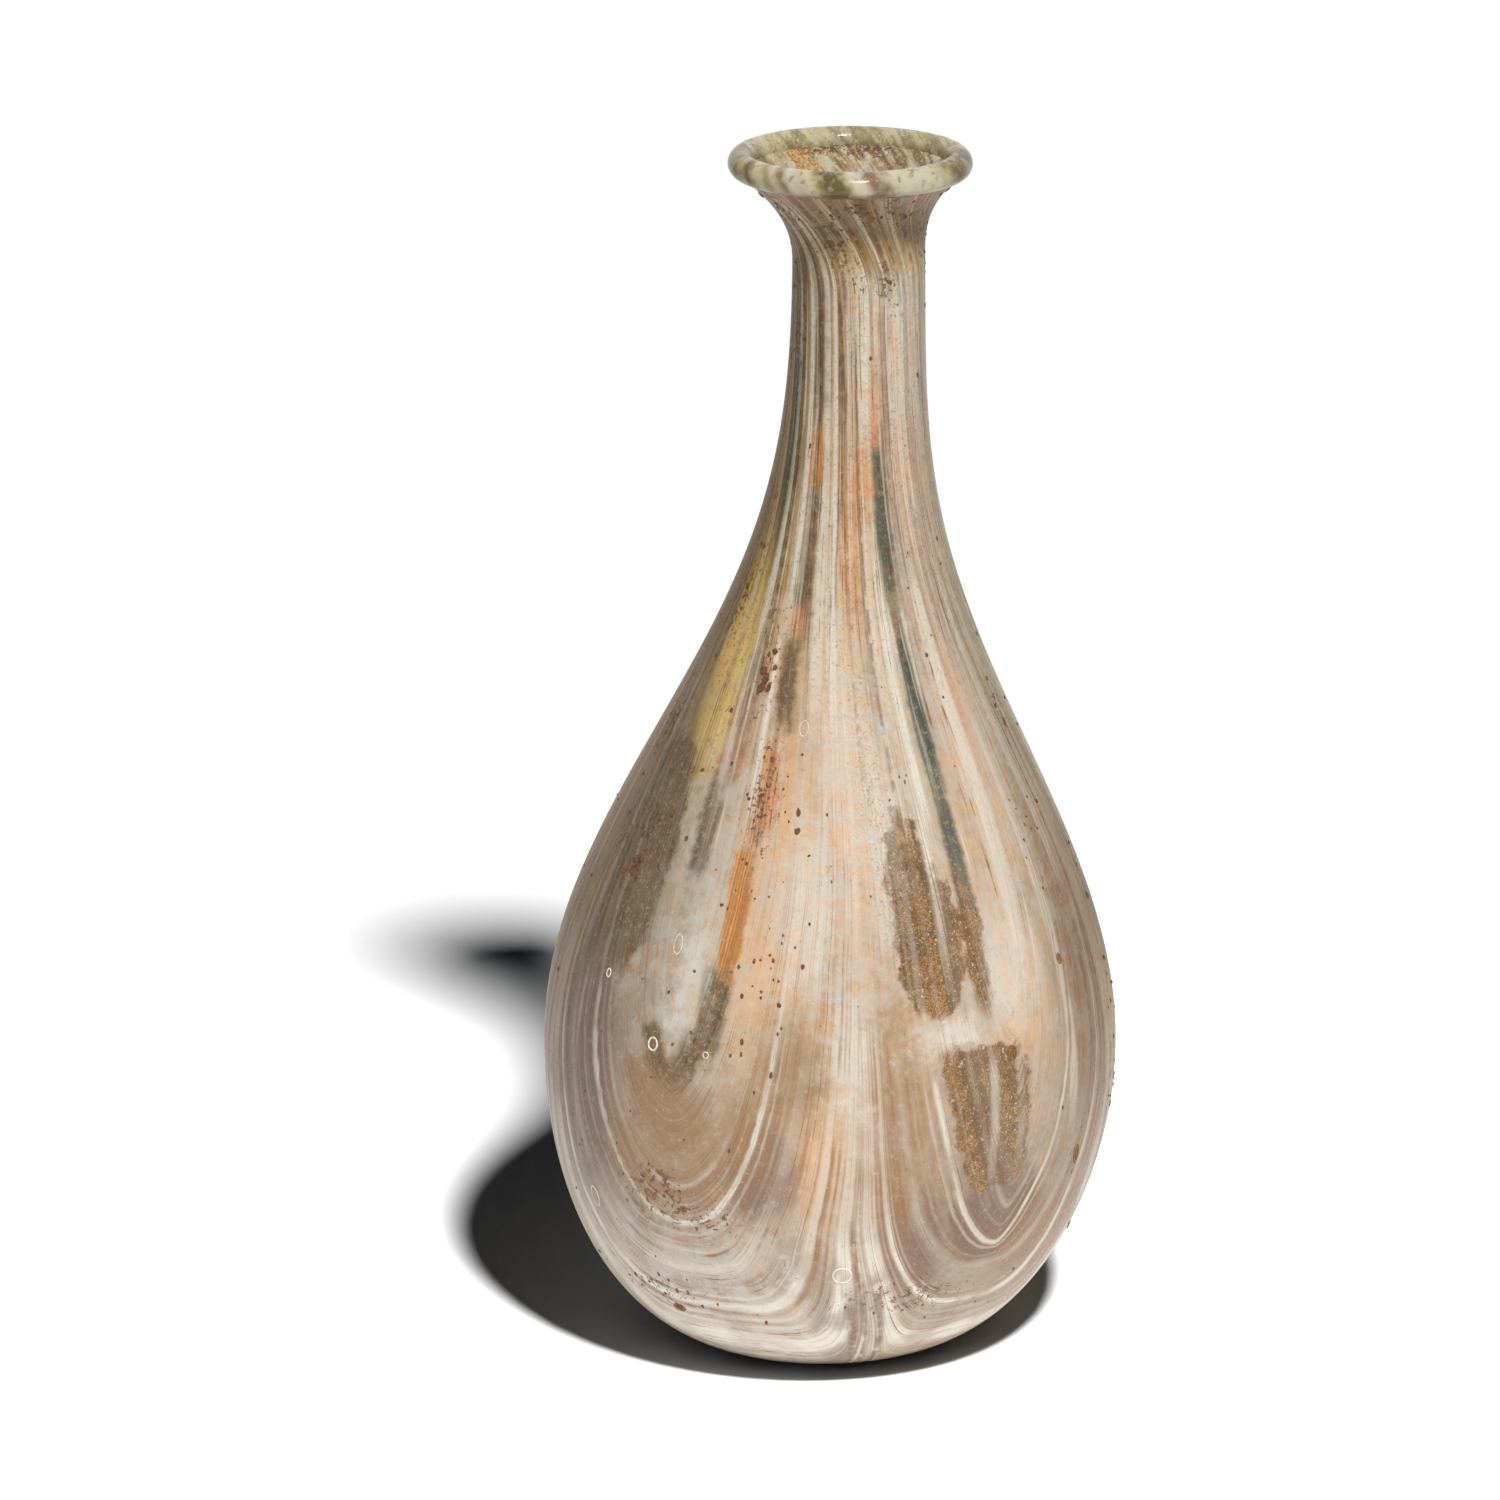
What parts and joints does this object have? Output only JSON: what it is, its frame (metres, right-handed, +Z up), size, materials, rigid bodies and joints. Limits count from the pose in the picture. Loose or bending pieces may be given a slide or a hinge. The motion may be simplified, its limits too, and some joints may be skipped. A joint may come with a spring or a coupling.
{
  "type": "glass bottle",
  "caption": "Pear-shaped blown glass bottle with narrow neck, flared mouth, rolled rim and white trails combed into swags, in weathered translucent glass",
  "frame": {"origin": "centre of the resting plane under the bottle's widest ring", "axes": "+Z up along the bottle, -Y towards the viewer of the picture, +X to their right"},
  "size_m": [0.0654, 0.0654, 0.1387],
  "materials": {
    "body_glass": "translucent pinkish-grey glass, weathered, glossy",
    "white_glass": "opaque milky white glass, satin",
    "rim_glass": "banded olive and milky glass, fire-polished gloss",
    "crust": "dry brown burial crust, matt"
  },
  "bodies": {
    "root": {"blown_wall": "body_glass", "rolled_rim": "rim_glass", "pontil_scar": "body_glass", "white_trail_front_left_upper": "white_glass", "white_trail_front_left_middle": "white_glass", "white_trail_front_left_lower": "white_glass", "white_trail_front_left_foot": "white_glass", "white_trail_front_right_upper": "white_glass", "white_trail_front_right_middle": "white_glass", "white_trail_front_right_lower": "white_glass", "white_trail_front_right_foot": "white_glass", "white_trail_right_upper": "white_glass", "white_trail_right_middle": "white_glass", "white_trail_right_lower": "white_glass", "white_trail_right_foot": "white_glass", "white_trail_back_upper": "white_glass", "white_trail_back_middle": "white_glass", "white_trail_back_lower": "white_glass", "white_trail_back_foot": "white_glass", "white_trail_left_upper": "white_glass", "white_trail_left_middle": "white_glass", "white_trail_left_lower": "white_glass", "white_trail_left_foot": "white_glass", "crust_patch_right_upper": "crust", "crust_patch_right_lower": "crust", "crust_patch_left": "crust", "crust_patch_neck": "crust", "crust_line_mouth": "crust"}
  },
  "joints": []
}
